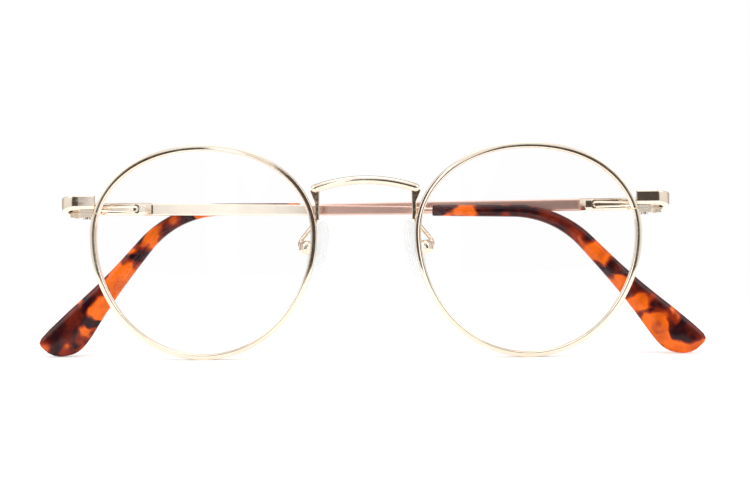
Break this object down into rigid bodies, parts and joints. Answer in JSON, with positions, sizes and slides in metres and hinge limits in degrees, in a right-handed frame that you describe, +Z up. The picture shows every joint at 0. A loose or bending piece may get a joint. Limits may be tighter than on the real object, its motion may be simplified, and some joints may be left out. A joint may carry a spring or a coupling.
{
  "type": "eyeglasses frame",
  "caption": "Round thin-wire metal eyeglasses, folded, with an arched bridge, screw-on nose pads, spring hinges and tortoiseshell temple tips.",
  "frame": {"origin": "middle of the footprint, on the surface that the folded frame stands on", "axes": "+X across the face to the wearer's left, +Y back towards the wearer, +Z up"},
  "size_m": [0.1449, 0.016, 0.0454],
  "materials": {
    "pale_gold": "polished pale gold plating",
    "steel": "turned steel, plated",
    "tortoise_acetate": "polished tortoiseshell acetate",
    "clear_lens": "clear demo lens, hard coated",
    "clear_plastic": "clear moulded plastic",
    "milky_silicone": "translucent silicone"
  },
  "bodies": {
    "front": {"bridge": "pale_gold", "left_eyewire": "pale_gold", "left_rim_lock_upper": "pale_gold", "left_rim_lock_lower": "pale_gold", "left_rim_screw": "pale_gold", "left_lens": "clear_lens", "left_endpiece": "pale_gold", "left_hinge_barrel": "pale_gold", "left_hinge_screw": "steel", "left_pad_arm": "pale_gold", "left_pad_box": "pale_gold", "left_pad_screw": "steel", "right_eyewire": "pale_gold", "right_rim_lock_upper": "pale_gold", "right_rim_lock_lower": "pale_gold", "right_rim_screw": "pale_gold", "right_lens": "clear_lens", "right_endpiece": "pale_gold", "right_hinge_barrel": "pale_gold", "right_hinge_screw": "steel", "right_pad_arm": "pale_gold", "right_pad_box": "pale_gold", "right_pad_screw": "steel"},
    "left_slider": {"left_hinge_slider": "steel", "left_slider_head": "steel"},
    "left_temple": {"left_hinge_spring": "steel", "left_spring_retainer": "steel", "left_spring_housing": "pale_gold", "left_temple_bar": "pale_gold", "left_temple_tip": "tortoise_acetate"},
    "left_pad": {"left_pad_insert": "clear_plastic", "left_nose_pad": "milky_silicone"},
    "right_slider": {"right_hinge_slider": "steel", "right_slider_head": "steel"},
    "right_temple": {"right_hinge_spring": "steel", "right_spring_retainer": "steel", "right_spring_housing": "pale_gold", "right_temple_bar": "pale_gold", "right_temple_tip": "tortoise_acetate"},
    "right_pad": {"right_pad_insert": "clear_plastic", "right_nose_pad": "milky_silicone"}
  },
  "joints": [
    {"name": "left_fold", "type": "hinge", "parent": "front", "child": "left_slider", "pos_m": [0.0625, 0.0024, 0.03228], "axis": [0.0026, -0.0262, -0.9997], "range_deg": [0, 88.5]},
    {"name": "left_spring", "type": "slide", "parent": "left_slider", "child": "left_temple", "axis": [-0.9997, 0.0261, -0.0033], "range_m": [0, 0.0012], "stiffness_N_per_m": 500, "springref_m": -0.004, "deforming": ["left_hinge_spring"]},
    {"name": "left_pad_rock", "type": "hinge", "parent": "front", "child": "left_pad", "pos_m": [0.0129, 0.0026, 0.0234], "axis": [0.4891, 0.866, 0.104], "range_deg": [-6, 6]},
    {"name": "right_fold", "type": "hinge", "parent": "front", "child": "right_slider", "pos_m": [-0.0625, 0.0024, 0.03228], "axis": [0.0131, 0.0262, 0.9996], "range_deg": [0, 90.9]},
    {"name": "right_spring", "type": "slide", "parent": "right_slider", "child": "right_temple", "axis": [0.9998, -0.016, -0.0127], "range_m": [0, 0.0012], "stiffness_N_per_m": 500, "springref_m": -0.004, "deforming": ["right_hinge_spring"]},
    {"name": "right_pad_rock", "type": "hinge", "parent": "front", "child": "right_pad", "pos_m": [-0.0129, 0.0026, 0.0234], "axis": [-0.4891, 0.866, 0.104], "range_deg": [-6, 6]}
  ]
}
